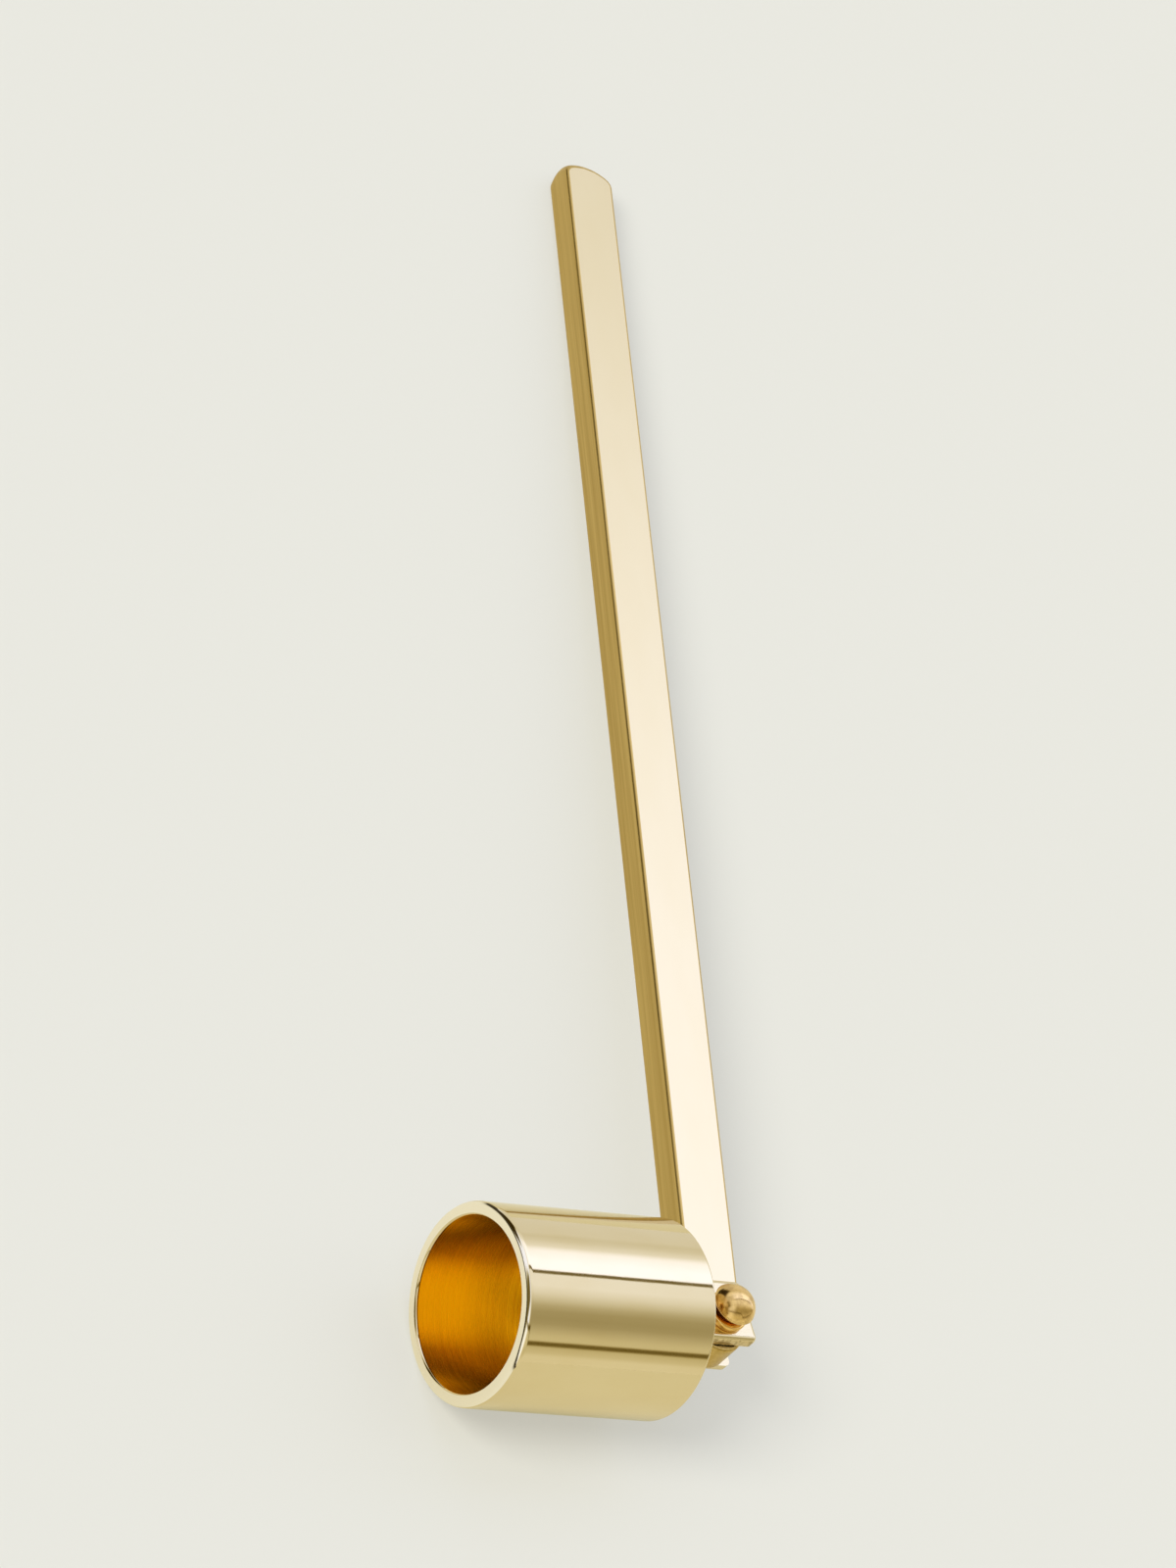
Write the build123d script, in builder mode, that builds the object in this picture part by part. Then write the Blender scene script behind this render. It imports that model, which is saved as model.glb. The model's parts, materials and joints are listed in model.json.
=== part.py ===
from build123d import *
import math
import os

# Candle snuffer: a round cup on a fork that tilts on a screw through the end of a flat bar handle.
# Millimetres. It lies on its side, on the cup and on the tip of its handle, as put down on a table.
# Origin: middle of the cup's mouth. +X runs along the cup from its mouth to its closed end,
# +Y goes the way the handle points and +Z is up.

# Cup
cup_diameter = 25.0
cup_length = 28.4
cup_side_wall = 1.75
cup_end_wall = 2.0
rim_outer_round = 0.35
rim_inner_round = 0.20
cup_end_round = 0.35
cup_floor_round = 1.50

# Handle
handle_width = 7.7
handle_thickness = 4.45
handle_reach = 193.6
handle_heel = 4.4
tip_crown_across = 1.3
tip_crown_through = 0.70
tip_corner_round = 1.75
handle_edge_round = 0.30
cup_tilt_at_rest = 12.0

# Fork
pivot_setback = 8.0
pivot_drop = 0.8
fork_height = 8.6
fork_drop = 0.1
ear_thickness = 1.5
ear_reach = 4.2
ear_corner_round = 0.85
fork_edge_round = 0.70
heel_clearance = 0.45

# Screws, nut and washers
pivot_screw_diameter = 2.5
pivot_running_gap = 0.05
pivot_head_diameter = 5.2
pivot_head_height = 1.3
cup_screw_diameter = 3.0
cup_screw_grip = 3.0
cup_head_diameter = 5.6
cup_head_height = 1.2
screw_end_bevel = 0.25
thread_gap = 0.02
hole_gap = 0.06
head_round = 0.40
driver_slot_width = 0.8
driver_slot_depth = 0.6
friction_washer_diameter = 6.4
friction_washer_thickness = 0.15
friction_gap = 0.02
nut_washer_diameter = 5.5
nut_washer_thickness = 0.9
nut_washer_round = 0.25
nut_neck_diameter = 4.0
nut_neck_height = 1.35
nut_dome_diameter = 5.8
nut_dome_height = 2.1
nut_rim_round = 0.35
nut_top_wall = 0.9

cut_overrun = 1.0

# The handle leans about the cup's axis until its tip meets the table that the cup lies on. The point
# that touches is where the tip's crown across meets its crown through, on the side of the cup's mouth.
cup_radius = cup_diameter / 2
tilt = math.radians(cup_tilt_at_rest)
half_width = handle_width / 2
crown_radius = (half_width**2 + tip_crown_across**2) / (2 * tip_crown_across)
contact_across = math.sqrt(crown_radius**2 - (crown_radius - tip_crown_through) ** 2)
contact_along = handle_reach - tip_crown_through
tip_away = contact_along * math.cos(tilt) + contact_across * math.sin(tilt) - pivot_drop
tip_span = math.hypot(tip_away, handle_thickness / 2)
lean = math.asin(cup_radius / tip_span) - math.atan2(handle_thickness / 2, tip_away)

# Planes: bench holds the cup's axis and the pivot, and its normal is the pivot's axis.
bench = Plane(origin=(0, 0, 0), x_dir=(1, 0, 0), z_dir=(0, math.sin(lean), math.cos(lean)))
pivot_point = bench.from_local_coords((cup_length + pivot_setback, -pivot_drop, 0))
pivot_plane = Plane(origin=pivot_point, x_dir=bench.x_dir, z_dir=bench.z_dir)
pivot_axis = Axis(pivot_point, pivot_plane.z_dir)
handle_across = pivot_plane.x_dir.rotate(pivot_axis, -cup_tilt_at_rest)
handle_plane = Plane(origin=pivot_point, x_dir=handle_across, z_dir=pivot_plane.z_dir)
cup_section = Plane.XY
fork_foot = bench.from_local_coords((cup_length, -fork_drop, 0))
fork_root = Plane(origin=fork_foot, x_dir=bench.y_dir, z_dir=(1, 0, 0))

# Stack along the pivot, from the handle's middle plane outwards
handle_half = handle_thickness / 2
slot_half = handle_half + friction_gap + friction_washer_thickness
ear_outer = slot_half + ear_thickness
nut_seat = ear_outer + nut_washer_thickness
nut_rim = nut_seat + nut_neck_height
nut_top = nut_rim + nut_dome_height
pivot_screw_end = nut_top - nut_top_wall
fork_web = pivot_setback - handle_heel - heel_clearance


# Cup: turned from bar, one wall thickness all round, with a rounded rim and a flat closed end.
floor_x = cup_length - cup_end_wall
bore_radius = cup_radius - cup_side_wall
cup_hole_radius = cup_screw_diameter / 2 + hole_gap
with BuildPart() as snuffer_cup:
    with BuildSketch(cup_section) as cup_profile:
        with BuildLine():
            Polyline(
                (0, bore_radius),
                (0, cup_radius),
                (cup_length, cup_radius),
                (cup_length, cup_hole_radius),
                (floor_x, cup_hole_radius),
                (floor_x, bore_radius),
                close=True,
            )
        make_face()
        corners = cup_profile.vertices()
        fillet(corners.filter_by_position(Axis.X, floor_x, floor_x).sort_by(Axis.Y)[-1], cup_floor_round)
        fillet(corners.filter_by_position(Axis.X, 0, 0).sort_by(Axis.Y)[0], rim_inner_round)
        fillet(corners.filter_by_position(Axis.X, 0, 0).sort_by(Axis.Y)[-1], rim_outer_round)
        end_corner = corners.filter_by_position(Axis.X, cup_length, cup_length).sort_by(Axis.Y)[-1]
        fillet(end_corner, cup_end_round)
    revolve(axis=Axis.X)

# Handle: a flat bar with rounded long edges, cut to a crowned tip and a round heel, with a pivot hole.
heel_centre = half_width - handle_heel
bar_start = handle_heel + cut_overrun
bar_foot = handle_plane.from_local_coords((0, -bar_start, 0))
bar_section = Plane(origin=bar_foot, x_dir=handle_plane.x_dir, z_dir=handle_plane.y_dir)
side_plane = Plane(origin=pivot_point, x_dir=handle_plane.y_dir, z_dir=handle_plane.x_dir)
with BuildPart() as handle_bar:
    with BuildSketch(bar_section):
        RectangleRounded(handle_width, handle_thickness, handle_edge_round)
    extrude(amount=bar_start + handle_reach + cut_overrun)
    with BuildSketch(handle_plane) as handle_outline:
        with BuildLine():
            shoulder = handle_reach - tip_crown_across
            Line((-half_width, heel_centre), (-half_width, shoulder))
            ThreePointArc((-half_width, shoulder), (0, handle_reach), (half_width, shoulder))
            Line((half_width, shoulder), (half_width, heel_centre))
            ThreePointArc((half_width, heel_centre), (0, -handle_heel), (-half_width, heel_centre))
        make_face()
        fillet(handle_outline.vertices().group_by(Axis.Y)[-1], tip_corner_round)
    extrude(amount=handle_half + cut_overrun, both=True, mode=Mode.INTERSECT)
    with BuildSketch(side_plane):
        with BuildLine():
            side_shoulder = handle_reach - tip_crown_through
            Polyline(
                (side_shoulder, handle_half),
                (-bar_start, handle_half),
                (-bar_start, -handle_half),
                (side_shoulder, -handle_half),
            )
            ThreePointArc((side_shoulder, -handle_half), (handle_reach, 0), (side_shoulder, handle_half))
        make_face()
    extrude(amount=half_width + cut_overrun, both=True, mode=Mode.INTERSECT)
    with BuildSketch(handle_plane):
        Circle(pivot_screw_diameter / 2 + pivot_running_gap)
    extrude(amount=handle_half + cut_overrun, both=True, mode=Mode.SUBTRACT)

# Fork: one block, a little below the cup's axis, slotted for the handle's heel. Its outer edges are
# well rounded and its base has a tapped hole for the cup's screw.
fork_thickness = 2 * ear_outer
fork_length = pivot_setback + ear_reach
with BuildPart() as pivot_fork:
    with BuildSketch(fork_root):
        Rectangle(fork_height, fork_thickness)
    extrude(amount=fork_length)
    end_corners = pivot_fork.edges().filter_by(pivot_axis).sort_by(Axis.X)[-2:]
    fillet(end_corners, ear_corner_round)
    with BuildSketch(fork_root.offset(fork_web)):
        Rectangle(fork_height + 2 * cut_overrun, 2 * slot_half)
    extrude(amount=fork_length, mode=Mode.SUBTRACT)
    outer_faces = pivot_fork.faces().filter_by(
        lambda face: abs(bench.to_local_coords(face.center()).Z) > ear_outer - ear_thickness / 2
    )
    ear_edges = outer_faces.filter_by(pivot_axis).edges()
    root_end = cup_length + fork_edge_round
    fillet(ear_edges.filter_by(lambda edge: edge.center().X > root_end), fork_edge_round)
    with BuildSketch(fork_root):
        with Locations((fork_drop, 0)):
            Circle(cup_screw_diameter / 2 + thread_gap)
    extrude(amount=cup_screw_grip + cut_overrun, mode=Mode.SUBTRACT)
    with BuildSketch(pivot_plane):
        Circle(pivot_screw_diameter / 2 + hole_gap)
    extrude(amount=ear_outer + cut_overrun, both=True, mode=Mode.SUBTRACT)


def slotted_screw(plane, shank, shank_end, head, head_height):
    """A pan-head screw: the head's flat side lies on the plane and the shank runs along its normal."""
    with BuildPart() as screw:
        with BuildSketch(plane):
            Circle(head / 2)
        extrude(amount=-head_height)
        crown_edge = screw.faces().sort_by(Axis(plane.origin, plane.z_dir))[0].edges()
        fillet(crown_edge, head_round)
        with BuildSketch(plane.offset(-head_height)):
            Rectangle(head + cut_overrun, driver_slot_width)
        extrude(amount=driver_slot_depth, mode=Mode.SUBTRACT)
        with BuildSketch(plane):
            Circle(shank / 2)
        extrude(amount=shank_end)
        tip_edge = screw.faces().sort_by(Axis(plane.origin, plane.z_dir))[-1].edges()
        chamfer(tip_edge, screw_end_bevel)
    return screw.part


# Cup screw: its head is inside the cup, against the closed end, and its shank holds the fork.
cup_floor_plane = Plane(origin=(floor_x, 0, 0), x_dir=bench.y_dir, z_dir=(1, 0, 0))
cup_screw = slotted_screw(
    cup_floor_plane, cup_screw_diameter, cup_end_wall + cup_screw_grip, cup_head_diameter, cup_head_height
)

# Pivot screw: its head is under the far ear and its end is in the dome nut.
pivot_screw = slotted_screw(
    pivot_plane.offset(-ear_outer),
    pivot_screw_diameter,
    ear_outer + pivot_screw_end,
    pivot_head_diameter,
    pivot_head_height,
)

# Nut washer: a thick ring between the near ear and the dome nut.
with BuildPart() as nut_washer:
    with BuildSketch(pivot_plane.offset(ear_outer)):
        Circle(nut_washer_diameter / 2)
        Circle(pivot_screw_diameter / 2 + hole_gap, mode=Mode.SUBTRACT)
    extrude(amount=nut_washer_thickness)
    rims = nut_washer.edges().filter_by(GeomType.CIRCLE).sort_by(SortBy.RADIUS)[-2:]
    fillet(rims, nut_washer_round)

# Dome nut: a narrow neck under a flattened round head, with a blind hole for the screw's end.
dome_plane = Plane(origin=pivot_point, x_dir=pivot_plane.x_dir, z_dir=-pivot_plane.y_dir)
with BuildPart() as dome_nut:
    neck_radius = nut_neck_diameter / 2
    dome_radius = nut_dome_diameter / 2
    dome_curve = (dome_radius**2 + nut_dome_height**2) / (2 * nut_dome_height)
    with BuildSketch(dome_plane) as dome_profile:
        with BuildLine():
            Polyline((0, nut_top), (0, nut_seat), (neck_radius, nut_seat), (neck_radius, nut_rim))
            Line((neck_radius, nut_rim), (dome_radius, nut_rim))
            RadiusArc((dome_radius, nut_rim), (0, nut_top), -dome_curve)
        make_face()
        rim_corner = dome_profile.vertices().sort_by(Axis.X)[-1]
        fillet(rim_corner, nut_rim_round)
    revolve(axis=pivot_axis)
    with BuildSketch(pivot_plane.offset(nut_seat)):
        Circle(pivot_screw_diameter / 2 + thread_gap)
    extrude(amount=pivot_screw_end - nut_seat + thread_gap, mode=Mode.SUBTRACT)

# Friction washers: two thin discs that keep the handle off the fork and hold the cup where it is set.
with BuildPart() as friction_washers:
    for side in (-1, 1):
        with BuildSketch(pivot_plane.offset(side * slot_half)):
            Circle(friction_washer_diameter / 2)
            Circle(pivot_screw_diameter / 2 + hole_gap, mode=Mode.SUBTRACT)
        extrude(amount=-side * friction_washer_thickness)

os.makedirs("parts", exist_ok=True)
pieces = {
    "handle_bar": handle_bar.part,
    "snuffer_cup": snuffer_cup.part,
    "pivot_fork": pivot_fork.part,
    "cup_screw": cup_screw,
    "pivot_screw": pivot_screw,
    "nut_washer": nut_washer.part,
    "dome_nut": dome_nut.part,
    "friction_washers": friction_washers.part,
}
for name, piece in pieces.items():
    piece.label = name
    export_step(piece, f"parts/{name}.step")
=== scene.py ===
# %% [markdown]
# A candle snuffer in polished pale brass: a turned cup that tilts in a fork on the end of a long flat
# handle. It is put down on a table and lies on its cup and on the tip of its handle. The packed model
# gives every body, joint and size. This lesson dresses it: the pieces that show most are made again with
# the small roundings that polished metal has, and every piece gets a finish of its own.

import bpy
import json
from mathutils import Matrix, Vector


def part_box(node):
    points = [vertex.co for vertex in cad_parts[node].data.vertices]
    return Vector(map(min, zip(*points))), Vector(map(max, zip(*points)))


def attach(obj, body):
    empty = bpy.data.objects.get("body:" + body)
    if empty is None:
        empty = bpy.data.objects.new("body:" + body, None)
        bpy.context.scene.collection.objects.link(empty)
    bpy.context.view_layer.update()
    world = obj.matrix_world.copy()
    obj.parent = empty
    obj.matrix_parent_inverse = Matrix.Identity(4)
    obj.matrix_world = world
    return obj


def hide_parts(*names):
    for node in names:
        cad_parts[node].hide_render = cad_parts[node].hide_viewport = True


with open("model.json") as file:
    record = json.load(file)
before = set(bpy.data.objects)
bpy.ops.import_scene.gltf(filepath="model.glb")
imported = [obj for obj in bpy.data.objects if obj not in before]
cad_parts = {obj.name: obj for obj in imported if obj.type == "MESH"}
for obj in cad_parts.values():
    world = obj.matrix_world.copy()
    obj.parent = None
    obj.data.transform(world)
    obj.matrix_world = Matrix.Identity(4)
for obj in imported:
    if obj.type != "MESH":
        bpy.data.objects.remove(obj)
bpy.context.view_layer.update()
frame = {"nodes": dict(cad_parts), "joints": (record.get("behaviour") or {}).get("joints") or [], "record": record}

# %% Tools
import json
import math

import bmesh
import bpy
from mathutils import Color, Matrix, Vector

MM = 0.001
print("Blender", bpy.app.version_string)

# %% [markdown]
# Everything is placed from the frame. The cup's box gives its radius and its length, the record gives
# its bore, and the joint gives the pivot's place and axis. The handle stands twelve degrees off square
# to the cup, so its two directions are worked out from the pivot's axis and that angle. Other sizes are
# read from the packed solids, so a piece that is made again stays as large as the one it stands for.

# %% Places from the frame
cup_low, cup_high = (Vector(corner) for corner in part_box("snuffer_cup"))
CUP_RADIUS = (cup_high.z - cup_low.z) / 2
CUP_LENGTH = cup_high.x - cup_low.x
TABLE_HEIGHT = cup_low.z

mounts = {mount["name"]: mount for mount in frame["record"]["mounts"]}
BORE_RADIUS = mounts["cup_bore"]["dims"]["r_mm"] * MM

joint = frame["joints"][0]
PIVOT = Vector(joint["pos_m"])
PIVOT_AXIS = Vector(joint["axis"]).normalized()
CUP_AXIS = Vector((1, 0, 0))
BESIDE_CUP = PIVOT_AXIS.cross(CUP_AXIS)
HANDLE_TILT = math.radians(12.0)
HANDLE_ALONG = CUP_AXIS * math.sin(HANDLE_TILT) + BESIDE_CUP * math.cos(HANDLE_TILT)
HANDLE_ACROSS = CUP_AXIS * math.cos(HANDLE_TILT) - BESIDE_CUP * math.sin(HANDLE_TILT)
cup_sizes = (CUP_RADIUS, CUP_LENGTH, BORE_RADIUS)
print("cup radius, length and bore radius in mm", [round(size / MM, 2) for size in cup_sizes])
print("handle runs along", tuple(round(value, 4) for value in HANDLE_ALONG))


# %% Measuring a solid
def from_pivot(node):
    """Every corner of a packed solid's mesh, seen from the pivot."""
    solid = frame["nodes"][node]
    return [solid.matrix_world @ vertex.co - PIVOT for vertex in solid.data.vertices]


def reach(node, direction):
    """How far a solid reaches from the pivot in a direction."""
    return max(corner.dot(direction) for corner in from_pivot(node))


def reach_round(node):
    """How far a solid reaches from the pivot's axis."""
    return max(corner.cross(PIVOT_AXIS).length for corner in from_pivot(node))


print("handle reaches", round(reach("handle_bar", HANDLE_ALONG) / MM, 2), "mm from the pivot")


# %% A piece's own axes
def own_axes(origin, x_axis, y_axis, z_axis):
    """The matrix that carries a piece's own axes to its place in the frame."""
    turn = Matrix((x_axis, y_axis, z_axis)).transposed().to_4x4()
    return Matrix.Translation(origin) @ turn


ALONG_CUP = own_axes(Vector((0, 0, 0)), BESIDE_CUP, PIVOT_AXIS, CUP_AXIS)
ALONG_PIVOT = own_axes(PIVOT, CUP_AXIS, BESIDE_CUP, PIVOT_AXIS)
IN_HANDLE = own_axes(PIVOT, HANDLE_ACROSS, HANDLE_ALONG, PIVOT_AXIS)
print("pivot in mm", tuple(round(value / MM, 2) for value in PIVOT))

# %% [markdown]
# The camera stands where the photograph was taken from. It looks down at the table at a little over forty
# degrees and is rolled, so the handle stands nearly upright in the picture. It could be set by eye, but
# the cup's round rim and the handle's straight edges fix its place and its lens much more closely. The
# lens is long, so the picture has little perspective.

# %% Camera
CAMERA_PLACE = Vector((-0.48882, -0.33128, 0.58811))
CAMERA_TURN = tuple(math.radians(angle) for angle in (37.052, -34.153, -15.639))
PHOTO_HEIGHT = 1600
FOCAL_LENGTH_IN_PIXELS = 7055
SENSOR_HEIGHT = 36.0
NEAREST_SEEN = 0.01
FARTHEST_SEEN = 50.0

camera_data = bpy.data.cameras.new("camera")
camera_data.sensor_fit = "VERTICAL"
camera_data.sensor_height = SENSOR_HEIGHT
camera_data.lens = FOCAL_LENGTH_IN_PIXELS * SENSOR_HEIGHT / PHOTO_HEIGHT
camera_data.clip_start = NEAREST_SEEN
camera_data.clip_end = FARTHEST_SEEN
camera = bpy.data.objects.new("camera", camera_data)
camera.location = CAMERA_PLACE
camera.rotation_euler = CAMERA_TURN
bpy.context.collection.objects.link(camera)
bpy.context.scene.camera = camera
bpy.context.scene.view_settings.view_transform = "Standard"
print("lens in mm", round(camera_data.lens, 1))

# %% [markdown]
# A finish is worked out with Math nodes. They could be added and linked one by one, but nobody can read
# a sum from that. So a small class wraps a node's socket, and each operator on it adds one Math node.
# Every other node comes from one method, which sets the node's settings first and then its sockets.

# %% Shader sums
class Wire:
    """A socket that can be used in sums. Each sum adds a Math node."""

    def __init__(self, bench, socket):
        self.bench = bench
        self.socket = socket

    def __add__(self, other):
        return self.bench.maths("ADD", self, other)

    def __radd__(self, other):
        return self.bench.maths("ADD", other, self)

    def __sub__(self, other):
        return self.bench.maths("SUBTRACT", self, other)

    def __rsub__(self, other):
        return self.bench.maths("SUBTRACT", other, self)

    def __mul__(self, other):
        return self.bench.maths("MULTIPLY", self, other)

    def __rmul__(self, other):
        return self.bench.maths("MULTIPLY", other, self)

    def __truediv__(self, other):
        return self.bench.maths("DIVIDE", self, other)

    def __rtruediv__(self, other):
        return self.bench.maths("DIVIDE", other, self)

    def __pow__(self, other):
        return self.bench.maths("POWER", self, other)

    def __rpow__(self, other):
        return self.bench.maths("POWER", other, self)


print("sums written with", [name for name in vars(Wire) if name.startswith("__r")])


# %% The bench where nodes are joined
class Bench:
    """The node tree of one finish, of the floor or of the studio."""

    def __init__(self, tree):
        self.tree = tree
        tree.nodes.clear()

    def node(self, kind, settings=None, values=(), output=0):
        """Adds a node: its settings first, then the value or the link of each socket."""
        node = self.tree.nodes.new(kind)
        for name, setting in (settings or {}).items():
            if name == "stops":
                stops = node.color_ramp.elements
                while len(stops) < len(setting):
                    stops.new(1.0)
                for stop, (place, level) in zip(stops, setting):
                    stop.position = place
                    stop.color = (level, level, level, 1)
            else:
                setattr(node, name, setting)
        pairs = values.items() if isinstance(values, dict) else enumerate(values)
        for key, value in pairs:
            if isinstance(value, Wire):
                self.tree.links.new(value.socket, node.inputs[key])
            else:
                node.inputs[key].default_value = value
        return Wire(self, node.outputs[output]) if node.outputs else None

    def maths(self, operation, first, second):
        """One Math node."""
        return self.node("ShaderNodeMath", {"operation": operation}, (first, second))

    def mix(self, share, first, second):
        """One colour passing into another. A Mix node's colours are its inputs 6 and 7 and its output 2."""
        values = {0: share, 6: first, 7: second}
        return self.node("ShaderNodeMix", {"data_type": "RGBA"}, values, output=2)

    def ease(self, value, start, end):
        """0 before start and 1 after end, with a soft passage between. End may be below start."""
        settings = {"interpolation_type": "SMOOTHSTEP"}
        low, high = min(start, end), max(start, end)
        first, last = (0.0, 1.0) if start < end else (1.0, 0.0)
        values = {0: value, 1: low, 2: high, 3: first, 4: last}
        return self.node("ShaderNodeMapRange", settings, values)

    def between(self, share, ends):
        """A number that passes from the first of two ends to the second."""
        first, second = ends
        return first + share * (second - first)

    def place(self):
        """The point of the surface, in the frame that the piece moves with."""
        return self.node("ShaderNodeTexCoord", output="Object")

    def measure(self, point, direction):
        """How far the point lies along a direction, in metres."""
        values = {0: point, 1: tuple(direction)}
        return self.node("ShaderNodeVectorMath", {"operation": "DOT_PRODUCT"}, values, output="Value")

    def noise(self, point, fineness, detail=2.0):
        """Soft noise between 0 and 1. Fineness is how many waves go into a metre along each axis."""
        values = (point, tuple(fineness))
        stretched = self.node("ShaderNodeVectorMath", {"operation": "MULTIPLY"}, values)
        return self.node("ShaderNodeTexNoise", None, {"Vector": stretched, "Scale": 1.0, "Detail": detail})

    def bump(self, height, depth):
        """The normal of a surface whose relief is depth metres high."""
        return self.node("ShaderNodeBump", None, {"Height": height, "Distance": depth, "Strength": 1.0})


print("the bench makes", [name for name in vars(Bench) if not name.startswith("_")])

# %% [markdown]
# Polished brass has little colour of its own in a picture: it shows the studio round it. So the studio
# is the main part of the look. Real sheets and lamps could be built, but a world shader is smooth, quick
# and easy to tune. It is a long white tent, from left to right, whose brightness changes mostly with the
# angle from straight up: a strong soft band leans to the back, a thin dark seam lies at its near side,
# and a duller stretch of roof lies in front. Brighter parts are a little cooler.

# %% The tent's bands
# Each pair is an angle in degrees, from the back horizon at -90 to the front one at 90, and a level.
TENT_BANDS = (
    (-90.0, 0.84), (-66.0, 0.84), (-61.0, 0.78), (-55.0, 0.84), (-50.0, 0.95), (-46.5, 1.02),
    (-43.0, 1.26), (-40.0, 1.4), (-34.0, 1.47), (-27.0, 1.54), (-16.2, 1.56), (-15.4, 0.12),
    (-12.2, 0.12), (-11.2, 1.15), (-8.8, 1.08), (2.0, 1.09), (10.0, 0.95), (18.0, 0.73),
    (24.0, 0.53), (30.0, 0.42), (38.0, 0.39), (44.0, 0.42), (51.0, 0.54), (58.0, 0.66),
    (63.0, 0.7), (72.0, 0.62), (78.0, 0.7), (82.0, 0.82), (90.0, 0.83),
)
TENT_TOP_LEVEL = 1.6
HORIZON = 90.0


def along_roof(angle):
    """An angle from straight up, as a share of the way from the back horizon to the front one."""
    return (angle + HORIZON) / (2 * HORIZON)


stops = [(along_roof(angle), level / TENT_TOP_LEVEL) for angle, level in TENT_BANDS]
print("tent bands", len(stops))

# %% [markdown]
# The rest of the tent breaks the even bands, as any real one does. A second seam runs low along the
# front and climbs towards the left, and gives the lower dark line along the cup. A black card stands at
# the back, a little to the left, and gives the rim and the polished edges their dark line. The left end
# is closed by an even sheet with an opening in its middle, which is dark up to about the camera's
# height. Real cards could block the light, but a mask is easy to move, and its soft edges keep any edge
# in the metal from looking drawn.

# %% Masks in the tent
# A pair says where a soft edge starts and where it ends. The seam's two edges are degrees from straight
# up. The sides of the card and of the opening are degrees round from the right. The left end, the seam's
# climb and the tops are how far a direction of length one reaches, to the right or up.
LEFT_END_EDGE = (-0.1, -0.45)
LEFT_END_LEVEL = 0.95
SEAM_CLIMB = 19
SEAM_CLIMB_EDGE = (0.55, 0.22)
SEAM_UPPER_EDGE = (62.8, 65.8)
SEAM_LOWER_EDGE = (71.5, 68.2)
SEAM_SHADE = 0.82
CARD_RIGHT_EDGE = (94, 103)
CARD_LEFT_EDGE = (146, 138)
CARD_TOP_EDGE = (0.56, 0.44)
CARD_SHADE = 0.98
OPENING_FRONT_EDGE = (-150, -166)
OPENING_BACK_EDGE = (158, 172)
OPENING_TOP_EDGE = (0.84, 0.66)
OPENING_SHADE = 0.88

world = bpy.data.worlds.new("studio")
bpy.context.scene.world = world
world.use_nodes = True
tent = Bench(world.node_tree)
direction = tent.node("ShaderNodeTexCoord", output="Generated")
east, back, up = (tent.node("ShaderNodeSeparateXYZ", None, (direction,), output=axis) for axis in range(3))
lean = tent.maths("ARCTAN2", 0.0 - back, up) * math.degrees(1)
azimuth = tent.maths("ARCTAN2", back, east) * math.degrees(1)

band = tent.node("ShaderNodeValToRGB", {"stops": stops}, (along_roof(lean),))
left_end = tent.ease(east, *LEFT_END_EDGE)
level = band * TENT_TOP_LEVEL * (1 - left_end) + left_end * LEFT_END_LEVEL
climbed = lean + tent.ease(east, *SEAM_CLIMB_EDGE) * SEAM_CLIMB
seam = tent.ease(climbed, *SEAM_UPPER_EDGE) * tent.ease(climbed, *SEAM_LOWER_EDGE)
card_width = tent.ease(azimuth, *CARD_RIGHT_EDGE) * tent.ease(azimuth, *CARD_LEFT_EDGE)
card = card_width * tent.ease(up, *CARD_TOP_EDGE)
opening_width = tent.ease(azimuth, *OPENING_FRONT_EDGE) + tent.ease(azimuth, *OPENING_BACK_EDGE)
opening = opening_width * tent.ease(up, *OPENING_TOP_EDGE)
lit = level * (1 - card * CARD_SHADE) * (1 - opening * OPENING_SHADE) * (1 - seam * SEAM_SHADE)
print("studio masks", len(world.node_tree.nodes), "nodes")

# %% [markdown]
# The tent's light gets its colour last. White cloth that gets less light also looks warmer. A second,
# warm lamp could do that, but powers of the one level do it everywhere at once: red falls off more
# slowly than green, and blue faster. The front is warmer still. The camera doesn't see the tent at all.
# It sees a plain pale background, whose colour is written as a screen shows it, from 0 to 255.

# %% The tent's colour
BACKGROUND_SHOWN = Color([value / 255 for value in (233, 233, 225)])
BACKGROUND = (*BACKGROUND_SHOWN.from_srgb_to_scene_linear(), 1.0)
RED_LEVEL = 0.96
RED_POWER = 0.85
BLUE_LEVEL = 1.13
BLUE_POWER = 1.65
FRONT_EDGE = (40, 62)
FRONT_RED_MORE = 0.04
FRONT_BLUE_LESS = 0.18

front = tent.ease(lean, *FRONT_EDGE)
red = RED_LEVEL * lit**RED_POWER * (1 + front * FRONT_RED_MORE)
blue = BLUE_LEVEL * lit**BLUE_POWER * (1 - front * FRONT_BLUE_LESS)
tent_colour = tent.node("ShaderNodeCombineColor", None, (red, lit, blue))
seen = tent.node("ShaderNodeLightPath", output="Is Camera Ray")
shown = tent.mix(seen, tent_colour, BACKGROUND)
sky = tent.node("ShaderNodeBackground", None, {"Color": shown, "Strength": 1.0})
tent.node("ShaderNodeOutputWorld", None, {"Surface": sky})
print("studio nodes", len(world.node_tree.nodes))
print("background light", tuple(round(value, 3) for value in BACKGROUND))

# %% [markdown]
# The floor is a plain pale sheet that shows the background's own colour. It could be lit until it
# looks that pale, but then the brass would be too bright. So part of what the camera sees is the
# background's colour, and the rest is the sheet as it is lit, which keeps the snuffer's shadow. The
# metal sees the sheet at its own level, and dark past the sheet's left and back edges.

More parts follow.
